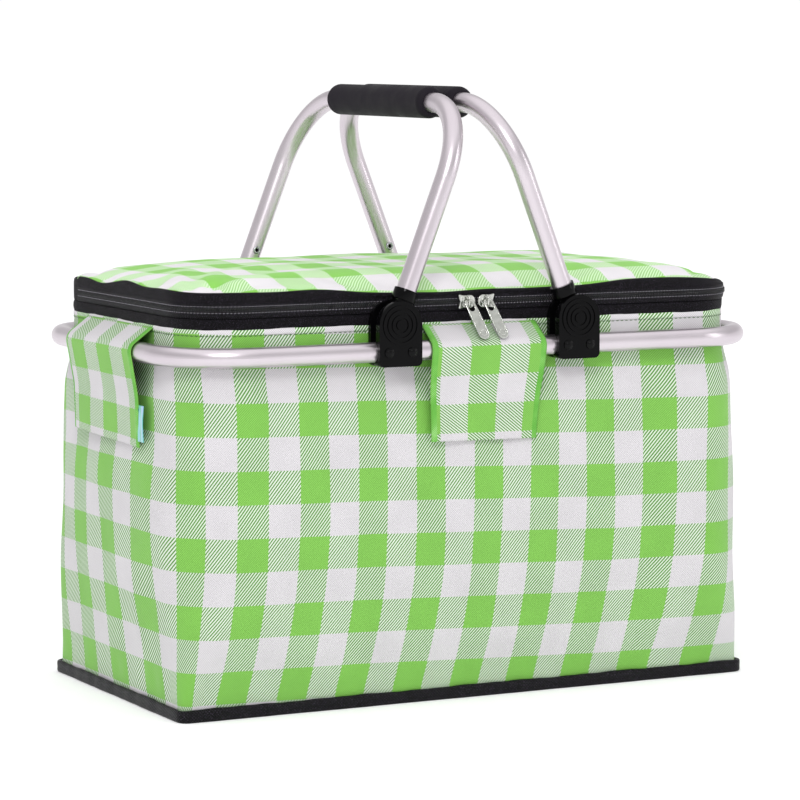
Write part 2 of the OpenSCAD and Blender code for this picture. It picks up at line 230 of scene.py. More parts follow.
# Place along a spindle and share of its radius there
THREAD_SHAPE = (-0.5, 0.35), (-0.32, 0.9), (0.0, 1.0), (0.32, 0.9), (0.5, 0.35)
COIL_SHAPE = (-0.5, 0.4), (-0.25, 0.95), (0.25, 0.95), (0.5, 0.4)


def spindles(name, points, outward, direction, length, radius, shape=COIL_SHAPE):
    """A small spindle at each point, laid along its own direction. One mesh."""
    direction = direction / np.linalg.norm(direction, axis=1, keepdims=True)
    side = np.cross(outward, direction)
    ring = 6
    angles = [2 * math.pi * k / ring for k in range(ring)]
    verts = np.stack([
        points + direction * at * length + (outward * math.cos(a) + side * math.sin(a)) * radius * share
        for at, share in shape for a in angles], 1)
    faces = [[r * ring + k, r * ring + (k + 1) % ring, (r + 1) * ring + (k + 1) % ring, (r + 1) * ring + k]
        for r in range(len(shape) - 1) for k in range(ring)]
    faces += [list(range(ring))[::-1], list(range(len(shape) * ring - ring, len(shape) * ring))]
    firsts = np.arange(len(points)) * len(shape) * ring
    mesh = bpy.data.meshes.new(name)
    mesh.from_pydata(verts.reshape(-1, 3).tolist(), [],
        [[v + first for v in face] for first in firsts.tolist() for face in faces])
    return add(name, mesh)


def stitches(name, points, outward, length, radius):
    """A row of thread through the points."""
    return spindles(name, points, outward, np.gradient(points, axis=0), length, radius, THREAD_SHAPE)


def lathe(name, profile, matrix, segments):
    """Solid of revolution about local Z, from (radius, z) points that start and end near the axis."""
    angles = np.linspace(0, 2 * math.pi, segments, endpoint=False)
    radius, height = np.array(profile).T[..., None]
    points = np.stack([radius * np.cos(angles), radius * np.sin(angles), height + 0 * angles], -1)
    obj = lattice(name, points, close_columns=True, caps=True)
    obj.data.transform(matrix)
    return obj


def drawn(name, lines, closed, **settings):
    """Mesh of a curve with straight pieces through each line of 2-D or 3-D points."""
    curve = bpy.data.curves.new(name, "CURVE")
    set_all(curve, **settings)
    for points in lines:
        spline = curve.splines.new("POLY")
        spline.points.add(len(points) - 1)
        for point, co in zip(spline.points, points):
            point.co = (*Vector(co).to_3d(), 1)
        spline.use_cyclic_u = closed
    return settle(linked(name, curve))


def plate(name, outlines, thickness, bevel, matrix):
    """Flat plate in local XY from closed outlines, the later ones being holes, with rounded edges."""
    obj = drawn(name, outlines, True, dimensions="2D", fill_mode="BOTH", extrude=thickness / 2 - bevel,
        bevel_depth=bevel, offset=-bevel, bevel_resolution=2)
    obj.data.transform(matrix)
    return obj


def wire(name, points, radius, closed=False):
    """Round wire along points."""
    return drawn(name, [points], closed, dimensions="3D", bevel_depth=radius, bevel_resolution=3,
        use_fill_caps=True)


# ---------- materials ----------
def rgb(r, g, b):
    """Linear colour from 0-255 display values."""
    shares = (r / 255, g / 255, b / 255)
    return tuple(c / 12.92 if c <= 0.04045 else ((c + 0.055) / 1.055) ** 2.4 for c in shares) + (1,)


def fill_ramp(node, stops):
    """Gives a colour ramp its stops, each a place and a colour."""
    elements = node.color_ramp.elements
    while len(elements) < len(stops):
        elements.new(0.5)
    for element, (at, colour) in zip(elements, stops):
        element.position = at
        element.color = colour


class Graph:
    """Short calls for building a material's nodes."""

    def __init__(self, name, **surface):
        self.material = bpy.data.materials.new(name)
        self.material.use_nodes = True
        self.tree = self.material.node_tree
        self.shader = self.tree.nodes["Principled BSDF"]
        for socket, value in surface.items():
            self.shader.inputs[socket.replace("_", " ")].default_value = value

    def node(self, kind, inputs, **settings):
        made = self.tree.nodes.new("ShaderNode" + kind)
        set_all(made, **settings)
        for key, value in inputs.items():
            self.put(made.inputs[key], value)
        return made

    def put(self, socket, value):
        if isinstance(value, bpy.types.NodeSocket):
            self.tree.links.new(value, socket)
        else:
            socket.default_value = value

    def math(self, operation, *values):
        return self.node("Math", dict(enumerate(values)), operation=operation).outputs[0]

    def plus(self, a, b):
        return self.math("ADD", a, b)

    def times(self, a, b):
        return self.math("MULTIPLY", a, b)

    def scaled(self, value, factor, offset):
        return self.math("MULTIPLY_ADD", value, factor, offset)

    def mix(self, share, a, b):
        return self.node("Mix", {0: share, 6: a, 7: b}, data_type="RGBA").outputs[2]

    def ramp(self, value, stops):
        made = self.node("ValToRGB", {0: value})
        fill_ramp(made, stops)
        return made.outputs[0]

    def uv(self):
        split = self.node("SeparateXYZ", {0: self.node("UVMap", {}, uv_map="weave").outputs[0]})
        return split.outputs[0], split.outputs[1]

    def place(self):
        return self.node("TexCoord", {}).outputs["Object"]

    def noise(self, scale, detail=2.0, vector=None, stretch=None):
        vector = vector or self.place()
        if stretch:
            vector = self.node("Mapping", {0: vector, 3: stretch}).outputs[0]
        return self.node("TexNoise", {"Vector": vector, "Scale": scale, "Detail": detail}).outputs[0]

    def wave(self, coordinate, per_metre):
        return self.math("SINE", self.times(coordinate, 2 * math.pi * per_metre))

    def basket(self, u, v, across, along):
        """Threads that cross, by their numbers per metre."""
        return self.times(self.wave(u, across), self.wave(v, along))

    def colour(self, value):
        self.put(self.shader.inputs["Base Color"], value)

    def roughness(self, noise, low, high):
        self.put(self.shader.inputs["Roughness"],
            self.node("MapRange", {0: noise, 1: 0.3, 2: 0.7, 3: low, 4: high}).outputs[0])

    def relief(self, height, distance, strength=1.0):
        made = self.node("Bump", {"Height": height, "Distance": distance, "Strength": strength})
        self.put(self.shader.inputs["Normal"], made.outputs[0])


# Threads and hatched lines per metre
THREADS = 14 / SQUARE
HATCHES = 10 / SQUARE


def gingham(name, across=1.0, up=-1 / 1.3, brightness=1.0, even=0.0):
    """Woven check: solid squares, white squares and hatched squares where green and white threads cross.

    The hatching leans by across and up, and even fades it to flat colours.
    """
    g = Graph(name, Roughness=0.66, Sheen_Weight=0.12, Sheen_Roughness=0.5, Specular_IOR_Level=0.3)
    u, v = g.uv()
    column, row = [g.math("LESS_THAN", g.math("FRACT", g.times(c, 0.5 / SQUARE)), 0.5) for c in (u, v)]
    lean = g.plus(g.times(u, across * HATCHES), g.times(v, up * HATCHES))
    line = g.times(g.math("ABSOLUTE", g.math("SUBTRACT", g.math("FRACT", lean), 0.5)), 2.0)
    dark, mid = rgb(72, 122, 54), rgb(112, 176, 78)
    light, white = rgb(172, 206, 154), rgb(224, 229, 221)
    columns = g.ramp(line, [(0.0, dark), (0.2, dark), (0.38, mid), (0.56, light), (0.74, white)])
    rows = g.ramp(line, [(0.0, dark), (0.2, dark), (0.36, mid), (0.48, light), (0.62, white)])
    if even:
        columns = g.mix(even, columns, rgb(172, 214, 148))
        rows = g.mix(even, rows, rgb(182, 220, 160))
    basket = g.basket(u, v, THREADS, THREADS)
    twill = g.wave(g.plus(u, g.times(v, -1.0)), THREADS)
    plain_white = g.ramp(g.scaled(basket, 0.5, 0.5), [(0.0, rgb(190, 186, 191)), (0.7, rgb(220, 217, 220))])
    plain_green = g.ramp(g.scaled(twill, 0.5, 0.5), [(0.0, rgb(106, 172, 58)), (0.8, rgb(136, 199, 90))])
    colour = g.mix(row, g.mix(column, plain_white, columns), g.mix(column, rows, plain_green))
    levels = [(at, (level * brightness,) * 3 + (1,)) for at, level in ((0.3, 0.93), (0.7, 1.0))]
    tone = g.ramp(g.noise(35.0, 3.0), levels)
    g.colour(g.node("Mix", {0: 1.0, 6: colour, 7: tone}, data_type="RGBA", blend_type="MULTIPLY").outputs[2])
    g.relief(g.plus(basket, g.times(g.wave(lean, 1.0), 0.25)), 0.12 * MM, 0.6)
    return g.material


def black_cloth(name, base=(7, 6, 9), ribs=1000.0, roughness=0.62):
    """Black woven fabric with a few lighter fibres. ribs is its threads per metre, or (across, along)."""
    g = Graph(name, Roughness=roughness, Specular_IOR_Level=0.12)
    weave = g.basket(*g.uv(), *np.broadcast_to(ribs, 2).tolist())
    fibres = g.noise(1600.0, 2.0)
    g.colour(g.ramp(g.scaled(weave, 0.12, fibres), [
        (0.35, rgb(*base)), (0.6, rgb(*(c + 10 for c in base))), (0.74, rgb(74, 66, 82))]))
    g.relief(g.plus(weave, g.times(fibres, 0.8)), 0.25 * MM, 0.9)
    return g.material


def aluminium():
    g = Graph("anodised_aluminium", Metallic=1.0, Roughness=0.3)
    grain = g.noise(2600.0, 2.0)
    cloud = g.noise(18.0, 2.0)
    # The metal's colour is its own pale grey with a pinkish tint that is a painted reflection of the studio.
    g.colour(g.mix(cloud, rgb(204, 194, 202), rgb(217, 210, 215)))
    g.roughness(g.scaled(grain, 0.4, g.times(cloud, 0.6)), 0.28, 0.36)
    g.relief(grain, 0.008 * MM, 0.15)
    return g.material


def moulded(name, base, rough=(0.06, 0.14), grain=0.006, gloss=0.1):
    """Moulded black plastic with a fine grain and a few scuffs."""
    g = Graph(name, Specular_IOR_Level=gloss)
    fine = g.noise(1400.0, 2.0)
    scuff = g.noise(120.0, 4.0)
    g.colour(g.mix(scuff, rgb(*base), rgb(*(c + 6 for c in base))))
    g.roughness(scuff, *rough)
    g.relief(g.plus(fine, scuff), grain * MM, 0.5)
    return g.material


def foam_rubber():
    g = Graph("grip_foam", Specular_IOR_Level=0.14)
    cells = g.node("TexVoronoi", {"Vector": g.place(), "Scale": 900.0}).outputs[0]
    cloud = g.noise(60.0, 3.0)
    g.colour(g.mix(cloud, rgb(18, 15, 20), rgb(34, 29, 38)))
    g.roughness(cloud, 0.55, 0.75)
    g.relief(cells, 0.12 * MM, 0.5)
    return g.material


def foil():
    g = Graph("foil_lining", Metallic=0.6)
    cells = g.node("TexVoronoi", {"Vector": g.place(), "Scale": 42.0}, feature="DISTANCE_TO_EDGE")
    fine = g.noise(240.0, 4.0)
    g.colour(g.mix(fine, rgb(196, 200, 206), rgb(226, 229, 233)))
    g.roughness(fine, 0.22, 0.42)
    g.relief(g.plus(g.math("MINIMUM", cells.outputs[0], 0.12), g.times(fine, 0.15)), 1.2 * MM, 0.7)
    return g.material


def speckled(name, base, step, scale, rough, depth, strength=0.8, **surface):
    """Foam, board, thread, plated metal and other plain stuff with a grain."""
    g = Graph(name, **surface)
    grain = g.noise(scale, 4.0)
    g.colour(g.mix(grain, rgb(*base), rgb(*(max(0, c - step) for c in base))))
    g.roughness(grain, *rough)
    g.relief(grain, depth * MM, strength)
    return g.material


def green_edge():
    """Turned edge of a tab, where the cloth's green threads show most."""
    g = Graph("tab_edge", Roughness=0.62, Specular_IOR_Level=0.3)
    basket = g.basket(*g.uv(), THREADS, THREADS)
    g.colour(g.ramp(g.scaled(basket, 0.2, g.noise(60.0, 3.0)), [
        (0.3, rgb(92, 168, 58)), (0.6, rgb(114, 186, 78)), (0.8, rgb(154, 208, 128))]))
    g.relief(basket, 0.12 * MM, 0.6)
    return g.material


def tag_film():
    g = Graph("tag_film", Roughness=0.28, Coat_Weight=0.4, Specular_IOR_Level=0.6)
    g.put(g.shader.inputs["Base Color"], g.ramp(g.noise(90.0, 2.0, stretch=(1.0, 2.5, 0.5)), [
        (0.35, rgb(64, 170, 140)), (0.5, rgb(120, 200, 205)), (0.62, rgb(160, 190, 235))]))
    g.relief(g.noise(1500.0), 0.03 * MM, 0.4)
    return g.material


WALL_CLOTH = gingham("gingham_wall")
# The hem's cloth is the wall's check painted 12% lighter, as painted light.
HEM_CLOTH_PAINTED_LIGHT = gingham("gingham_hem_painted_light", brightness=1.12)
TAB_CLOTH = gingham("gingham_tab", across=1 / 1.3, up=1.0)
# The lid's cloth is the wall's check with painted light: 27% lighter for its top, which faces the light. even
# fades its hatching to flat colours.
LID_CLOTH_PAINTED_LIGHT = gingham("gingham_lid_painted_light", brightness=1.27, even=0.6)
BLACK_WEAVE = black_cloth("black_weave")
BLACK_TAPE = black_cloth("black_tape", base=(6, 6, 8), ribs=(700.0, 400.0), roughness=0.5)
BINDING = black_cloth("black_binding", base=(5, 5, 7), ribs=420.0, roughness=0.3)
ALUMINIUM = aluminium()
PLASTIC = moulded("black_plastic", (3, 3, 4))
COIL = moulded("zip_coil_nylon", (22, 22, 25), gloss=0.5)
PAINTED = moulded("painted_rivet", (4, 4, 5), rough=(0.1, 0.18), gloss=0.12)
# Near-black matte colour for the disc at the bottom of each tubular rivet's hole: painted shade in the hole.
BORE_SHADE = moulded("rivet_bore_painted_shade", (4, 4, 4), rough=(0.7, 0.8), gloss=0.05)
GRIP = foam_rubber()
ZINC = speckled("zinc", (214, 216, 210), 34, 260.0, (0.1, 0.22), 0.03, 0.4, Metallic=1.0)
STEEL = speckled("steel", (196, 196, 200), 34, 260.0, (0.2, 0.34), 0.03, 0.4, Metallic=1.0)
FOIL = foil()
FOAM = speckled("white_foam", (240, 240, 236), 22, 700.0, (0.85, 0.95), 0.3)
BOARD = speckled("grey_board", (150, 122, 88), 40, 260.0, (0.8, 0.95), 0.15)
HOOK = speckled("hook_tape", (208, 232, 196), 60, 2200.0, (0.7, 0.9), 0.5, Sheen_Weight=0.2)
LOOP = speckled("loop_tape", (214, 236, 204), 50, 1500.0, (0.8, 0.95), 0.5, Sheen_Weight=0.5)
# The zip's sewing thread is real; its pale grey is a painted highlight on the stitches.
ZIP_THREAD_PAINTED_HIGHLIGHT = speckled("zip_thread_painted_highlight", (176, 172, 182), 40, 3000.0, (0.5, 0.7), 0.05, Sheen_Weight=0.3)
GREEN_THREAD = speckled("green_thread", (56, 104, 44), 20, 3000.0, (0.5, 0.7), 0.05, Sheen_Weight=0.3)
LIGHT_THREAD = speckled("light_thread", (186, 230, 166), 30, 3000.0, (0.5, 0.7), 0.05, Sheen_Weight=0.3)
TAG = tag_film()
TAB_EDGE = green_edge()

# ---------- bag walls ----------
# Height, half length, half depth and corner radius of the outer cloth
LEVELS = np.array([
    [WALL_LOW, *BASE],
    [14 * MM, BASE_X, BASE_Y, 8 * MM],
    [50 * MM, RIM_X - 3.5 * MM, RIM_Y - 11 * MM, 26 * MM],
    [95 * MM, RIM_X - 2 * MM, RIM_Y - 4 * MM, 42 * MM],
    [150 * MM, RIM_X - 1.5 * MM, RIM_Y - 2 * MM, 50 * MM],
    [197 * MM, RIM_X - 2.5 * MM, RIM_Y - 2.5 * MM, 50 * MM],
    [RIM_Z - 35 * MM, RIM_X - 4 * MM, RIM_Y - 4 * MM, 48 * MM],
    [RIM_Z - 7 * MM, RIM_X - 9.2 * MM, RIM_Y - 9.4 * MM, 47 * MM],
    [WALL_TOP, *BAND]])
WALL_COLUMNS = 480
END_BOW = 3.2 * MM
CLOTH = 1.1 * MM
# Insets of the padding's and the lining's faces, and their lowest level
PADDING_FACES = 1.25 * MM, 7.1 * MM
LINING_FACES = 7.25 * MM, 8.3 * MM
INNER_LOW = 4.4 * MM


def level_at(z):
    """Half length, half depth and corner radius at a height, rounded off between the levels."""
    offsets = np.linspace(-9, 9, 7) * MM
    weights = np.cos(np.linspace(-1.2, 1.2, 7))
    heights = np.clip(z + offsets, LEVELS[0, 0], LEVELS[-1, 0])
    return [np.average(np.interp(heights, LEVELS[:, 0], LEVELS[:, k]), weights=weights) for k in (1, 2, 3)]


def slack(s, z, round_trip):
    """How far the cloth stands out of its plain shape, from soft folds and the fill of the walls."""
    turn = 2 * math.pi * s / round_trip
    soft = smoothstep(z, 16 * MM, 60 * MM) * (1 - smoothstep(z, 225 * MM, 250 * MM))
    folds = (np.sin(7 * turn + 31 * z + 0.4) + 0.8 * np.sin(11 * turn - 44 * z + 2.1)
        + 0.6 * np.sin(19 * turn + 58 * z + 4.0) + 0.45 * np.sin(31 * turn - 23 * z + 1.2))
    pucker_high = np.sin(46 * turn + 60 * z) * bump(z, 238 * MM, 11 * MM)
    pucker_low = 0.8 * np.sin(61 * turn) * bump(z, 24 * MM, 9 * MM)
    return 0.55 * MM * folds * soft + 0.45 * MM * (pucker_high + pucker_low)


def wall_ring(z, inset):
    """One row of the wall: points, the arc length of each from the middle of the front, and the girth."""
    hl, hd, r = level_at(z)
    total = girth(hl, hd, r)
    s = np.linspace(-0.5, 0.5, WALL_COLUMNS, endpoint=False) * total
    xy, normal = outline(s, hl, hd, r)
    bow = END_BOW * smoothstep(z, 40 * MM, 110 * MM) * (1 - smoothstep(z, 165 * MM, 200 * MM))
    on_end = np.clip(1 - (xy[:, 1] / (hd - 20 * MM)) ** 2, 0, 1) * (np.abs(normal[:, 0]) > 0.7)
    out = slack(s, z, total) + bow * on_end - inset
    return np.column_stack([xy + normal * out[:, None], np.full(len(s), z)]), s, total


# How far the check drifts sideways at the base: arc length round the bag, and the drift there
DRIFT_AT = np.array([-480, -450, -340, -255, -222, 0, 200, 250, 330]) * MM
DRIFT = np.array([0, 6, 14, 13, -13, -14, -14, -16, 0]) * MM
STRETCH_AT = np.array([-400, -350, -318, -280, -247, -201, -150, -80, 0, 80, 140, 170, 230, 300]) * MM
STRETCH = np.array([30, 24, 17, 4, -4, -2, -2.4, 0, 1.5, 3.8, 3.4, -2.8, -9, 0]) * MM
LIFT_AT = np.array([-700, -450, -222, -91, 0, 110, 200, 450, 700]) * MM
LIFT = np.array([0, 7, 7, 3.8, 0, -4.4, -6, -6, 0]) * MM
DRIFT_TOP = 150 * MM
CHECK_SIDE = 5.6 * MM
CHECK_LOW = 54 * MM


def wall_uv(s, z):
    """Where the check falls at an arc length and a height."""
    stretch = np.interp(s, STRETCH_AT, STRETCH)
    drift = np.interp(s, DRIFT_AT, DRIFT) * np.clip(1 - z / DRIFT_TOP, 0, 1) ** 2
    return np.column_stack([s + stretch - drift + CHECK_SIDE, z - CHECK_LOW - np.interp(s, LIFT_AT, LIFT)])


def wall_shell(name, outer, inner, low, rows, floor=False):
    """Closed shell between two insets of the wall; with a floor, its bottom is closed at both faces."""
    heights = np.linspace(low, WALL_TOP, rows)
    points, uvs = [], []
    for inset, order in ((outer, heights), (inner, heights[::-1])):
        for z in order:
            ring, s, total = wall_ring(z, inset)
            if floor and inset == inner and z == low:
                ring[:, 2] += CLOTH
            points.append(ring)
            uvs.append(wall_uv(np.append(s, total / 2), z))
    if not floor:
        uvs.append(uvs[0])
    return lattice(name, np.array(points), np.array(uvs), not floor, True, caps=floor)


def fold_down(obj):
    """Gives a wall shell its own copy of its mesh."""
    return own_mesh(obj)


walls = wall_shell("wall_cloth", 0, CLOTH, WALL_LOW, 150)
dress(walls, WALL_CLOTH, "gingham", "base", "wall_fabric")
fold_down(walls)

padding = wall_shell("wall_padding", *PADDING_FACES, INNER_LOW, 60)
dress(padding, FOAM, "foam_core", "base", "wall_foam")
fold_down(padding)

tub = wall_shell("lining_tub", *LINING_FACES, INNER_LOW, 60, floor=True)
dress(tub, FOIL, "foil_lining", "base", "lining")
fold_down(tub)


# ---------- base ----------
def mm(profile, base=0.0):
    """Points given in millimetres, the second value counted from base."""
    return [(out * MM, base + z * MM) for out, z in profile]


def unmoved(s, out, z):
    return out, z


def ring_rows(profile, ring, s, wave=unmoved):
    """Rows of points for a profile of (out, z) swept round a rounded rectangle."""
    xy, normal = outline(s, *ring)
    rows = []
    for out, z in profile:
        out, z = wave(s, np.full(len(s), out), np.full(len(s), z))
        rows.append(np.column_stack([xy + normal * np.reshape(out, (-1, 1)), z]))
    return np.array(rows)


def profile_uv(profile, along):
    """UV of a swept profile: along the sweep and round the profile."""
    steps = np.linalg.norm(np.diff(np.array([*profile, profile[0]]), axis=0), axis=1)
    return np.stack(np.meshgrid(along, np.concatenate([[0], np.cumsum(steps)])), -1)


def sweep(name, profile, ring, s=None, wave=unmoved, uv_of=profile_uv):
    """Closed profile swept round a rounded rectangle, all the way round or along the arc lengths s."""
    whole = s is None
    along = np.linspace(0, girth(*ring), 701) if whole else s
    rows = ring_rows(profile, ring, along[:-1] if whole else s, wave)
    obj = lattice(name, rows, uv_of(profile, along), True, whole)
    if not whole:
        with editing(obj) as model:
            bmesh.ops.holes_fill(model, edges=[e for e in model.edges if e.is_boundary])
    turn_out(obj)
    return obj


def flat_sheet(name, profile, ring):
    """Level sheet whose edge has a profile of (out, z)."""
    s = np.linspace(0, girth(*ring), 301)
    rows = ring_rows(profile, ring, s[:-1])
    obj = lattice(name, rows, profile_uv(profile, s)[:-1], close_columns=True, caps=True)
    turn_out(obj)
    return obj


def binding_wave(s, out, z):
    """Crumples the outer face and the upper edge of the binding."""
    crumple = 0.5 * np.sin(s * 62) + 0.35 * np.sin(s * 149 + 1.0) + 0.25 * np.sin(s * 311 + 2.0)
    return out + 0.35 * MM * crumple * (out > -1.5 * MM), z + 0.55 * MM * crumple * (z > 6 * MM)


binding_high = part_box("base_binding")[1]
binding_profile = mm([(-2.7, 0.05), (-0.9, 0.0), (0.1, 0.5), (0.5, 1.9), (0.4, 4.2), (0.55, 6.8), (0.35, 8.4),
    (-0.4, 9.3), (-1.4, 9.5), (-2.2, 9.1), (-2.75, 8.0), (-2.85, 5.0), (-2.85, 1.8)])
binding_ring = binding_high.x, binding_high.y, 8 * MM
binding = sweep("base_binding_tape", binding_profile, binding_ring, wave=binding_wave)
dress(binding, BINDING, "base_fabric", "base", "base_binding")

panel = flat_sheet("base_cloth", mm([(-0.6, 0.0), (-0.1, 0.3), (-0.1, 0.9), (-0.6, 1.2)]), BASE)
panel.data.polygons.foreach_set("use_smooth", [False] * len(panel.data.polygons))
dress(panel, BLACK_WEAVE, "base_fabric", "base", "base_panel")

# ---------- bands and zip ----------
FULL = girth(*BAND)
ZIP_HALF = BAND_X - BAND_R + math.pi / 2 * BAND_R + BAND_Y - BAND_R + zip_high.y
FRONT_S = np.linspace(-ZIP_HALF, ZIP_HALF, 620)
REAR_S = np.linspace(ZIP_HALF + 0.4 * MM, FULL - ZIP_HALF - 0.4 * MM, 320)
LIP_REACH = 9 * MM


def signed(s):
    """Arc length measured both ways from the middle of the front."""
    return np.mod(np.asarray(s) + FULL / 2, FULL) - FULL / 2


def lip(s, z):
    """How far the zip's folds are pushed out where the band turns the corners, most at the zip's height."""
    s = np.abs(signed(s))
    front = 2.3 * smoothstep(s, 110 * MM, 205 * MM) * (1 - smoothstep(s, 230 * MM, 262 * MM))
    share = np.clip(1 - np.abs(z - ZIP_Z) / LIP_REACH, 0, 1) ** 0.7
    return MM * (front + 1.1 * bump(s, 415 * MM, 45 * MM)) * share


def lid_edge(s):
    """Rise and fall of the seam between the lid's cover and its black band."""
    s = signed(s)
    middle = -4.2 * smoothstep(s, -150 * MM, -60 * MM) * (1 - smoothstep(s, 70 * MM, 130 * MM))
    corner = -4.6 * smoothstep(s, 165 * MM, 235 * MM) * (1 - smoothstep(s, 400 * MM, 500 * MM))
    end = 2.6 * bump(s, -335 * MM, 24 * MM) - 2.4 * bump(s, -388 * MM, 20 * MM)
    return MM * (middle + corner + end + 0.4 * np.sin(s * 41) + 0.3 * np.sin(s * 93 + 1))


def soft_band(amount):
    """Small dents on the outer face of a fabric band, and its lips at the corners."""
    def wave(s, out, z):
        dents = 0.3 * np.sin(57 * s + 300 * z) + 0.25 * np.sin(131 * s + 2) + 0.2 * np.sin(263 * s - 400 * z)
        return out + amount * MM * dents * (out > -0.6 * MM) + lip(s, z), z
    return wave


def lid_wave(s, out, z):
    """A soft band whose upper edge follows the lid's seam."""
    out, z = soft_band(0.5)(s, out, z)
    return out, z + lid_edge(s) * np.clip((z - 305 * MM) / (6 * MM), 0, 1)


band_profile = mm([(-1.2, -1.2), (0.1, -1.0), (0.55, 0.2), (0.75, 2.4), (0.6, 4.6), (0.0, 6.6), (-0.9, 7.4),
    (-1.4, 6.4), (-1.4, 2)], BAND_LOW)
black_band = sweep("black_band", band_profile, BAND, wave=soft_band(0.6))
dress(black_band, BLACK_WEAVE, "band_fabric", "rim", "body_band")

hinge_profile = mm([(-1.2, 7.6), (0.0, 7.6), (0.3, 9), (0.35, 15), (0.3, 21), (0.0, 23.4), (-0.9, 24.2),
    (-1.2, 22), (-1.2, 12)], BAND_LOW)
hinge_band = sweep("rear_hinge_band", hinge_profile, BAND, REAR_S)
dress(hinge_band, BLACK_WEAVE, "band_fabric", "rim", "hinge_band")

tape_low = mm([(-1, -6.4), (-0.1, -6.6), (0.35, -5.6), (0.45, -3.6), (0.25, -1.9), (-0.5, -1.2), (-1.1, -1.6),
    (-1.2, -4)], ZIP_Z)
tape_high = [(out, min(2 * ZIP_Z - z, ZIP_HIGH + 1.2 * MM)) for out, z in tape_low][::-1]
lower_tape = sweep("lower_zip_tape", tape_low, BAND, FRONT_S, soft_band(0.15))
dress(lower_tape, BLACK_TAPE, "zip", "rim", "zip_tape_lower")
upper_tape = sweep("upper_zip_tape", tape_high, BAND, FRONT_S, soft_band(0.15))
dress(upper_tape, BLACK_TAPE, "zip", "lid", "zip_tape_upper")

lid_profile = mm([(-1.2, 0.2), (0.1, 0.1), (0.6, 1.2), (0.75, 3.4), (0.55, 6.2), (0.0, 8.0), (-1.4, 8.8),
    (-2.2, 7.6), (-1.8, 4)], ZIP_HIGH)
lid_band = sweep("black_lid_band", lid_profile, BAND, FRONT_S, lid_wave)
dress(lid_band, BLACK_WEAVE, "band_fabric", "lid", "lid_band")


def ring_points(s, out, z):
    """Points at a height just outside the band, and the outward directions there."""
    xy, normal = outline(s, *BAND)
    reach = out + lip(s, z)
    points = np.column_stack([xy + normal * reach[:, None], np.full(len(s), z)])
    return points, np.column_stack([normal, 0 * s])


def zip_teeth(name, sign, body, node):
    """One side of the coil: slanted loops, with a row of sewing thread on the tape beside it, whose pale grey
    is a painted highlight.
    """
    pitch = 1.7 * MM
    s = np.arange(-ZIP_HALF + 2 * MM, ZIP_HALF - 2 * MM, pitch)
    slant = np.tile([sign * 0.35, 0, 1.0], (len(s), 1))
    loops = []
    for k, (drop, radius) in enumerate(((0.35, 0.42), (1.15, 0.46))):
        points, normal = ring_points(s + k * pitch / 2, 0.45 * MM, ZIP_Z + sign * drop * MM)
        loops.append(spindles(f"{name}_{k}", points, normal, slant, 1.5 * MM, radius * MM))
    teeth = join(name, loops)
    dress(teeth, COIL, "zip", body, node)
    thread_s = np.arange(-ZIP_HALF + 3 * MM, ZIP_HALF - 3 * MM, 2.6 * MM)
    points, normal = ring_points(thread_s, 0.42 * MM, ZIP_Z + sign * 2.3 * MM)
    thread = stitches(name + "_thread", points, normal, 1.2 * MM, 0.28 * MM)
    dress(thread, ZIP_THREAD_PAINTED_HIGHLIGHT, "zip", body)


zip_teeth("lower_zip_coil", -1, "rim", "zip_coil_lower")
zip_teeth("upper_zip_coil", 1, "lid", "zip_coil_upper")

# Hem of the wall cloth under the band, its check painted 12% lighter as painted light, and its row of
# stitches
hem_profile = mm([(-0.6, -5.0), (0.35, -5.0), (0.6, -4.2), (0.6, -1.4), (0.2, -0.6), (-0.7, -0.6)], BAND_LOW)


def hem_uv(profile, along):
    return np.array([wall_uv(signed(along), z) for _, z in profile + profile[:1]])


dress(sweep("top_hem", hem_profile, BAND, uv_of=hem_uv), HEM_CLOTH_PAINTED_LIGHT, "gingham", "rim")
seam_points, seam_out = ring_points(np.arange(0, FULL, 4.0 * MM), 0.35 * MM, BAND_LOW - 5.4 * MM)
seam = stitches("top_hem_stitches", seam_points, seam_out, 2.4 * MM, 0.32 * MM)
dress(seam, GREEN_THREAD, "gingham", "rim")

# ---------- lid ----------
LID_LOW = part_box("lid_foam")[0].z
LID_RISE = 0.93 * (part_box("lid_cover")[1].z - BAND_TOP)
LID_SLOPE = 70 * MM
# Insets in millimetres of the rings of the underside and of the crown
UNDER_RINGS = 124, 90, 60, 30, 10, 3
CROWN_RINGS = 1.2, 2.0, 4, 8, 14, 22, 32, 44, 58, 74, 92, 110, 124
LID_VOXEL = 5 * MM
LID_PRESSURE = 2.0
PUFF_FRAMES = 20
PUFF_CAP = 2 * MM


def lid_height(x, inset):
    """Top of the padded lid above its seam."""
    rise = 1 - (1 - np.clip(inset / LID_SLOPE, 0, 1)) ** 2.2
    arch = 1 - 0.30 * np.clip(np.abs(x) / BAND_X, 0, 1) ** 2
    return LID_RISE * rise * arch


def lid_shape():
    """Rings from the underside round the edge and over the crown, closed in the middle."""
    share = np.linspace(0, 1, 420, endpoint=False)
    rows = [(inset, LID_LOW + 0.3 * MM, 0) for inset in UNDER_RINGS]
    rows.append((CROWN_RINGS[0], LID_LOW + 2.2 * MM, 0))
    rows += [(inset, BAND_TOP - 0.6 * MM, 1) for inset in CROWN_RINGS]
    points = []
    for inset, z, crown in rows:
        d = inset * MM
        hl, hd = BAND_X - d, BAND_Y - d
        r = min(max(BAND_R - 0.7 * d, 4 * MM), hd - 0.5 * MM)
        xy, _ = outline(share * girth(hl, hd, r), hl, hd, r)
        points.append(np.column_stack([xy, z + crown * lid_height(xy[:, 0], d)]))
    return lattice("lid_pad", np.array(points), close_columns=True, caps=True)


def pinned_edge(rest):
    """Which points the simulation holds: the underside and the rim."""
    low = rest[:, 2] < LID_LOW + 4 * MM
    rim = (np.abs(rest[:, 0]) / BAND_X > 0.985) | (np.abs(rest[:, 1]) / BAND_Y > 0.975)
    return (low | rim).astype(float)


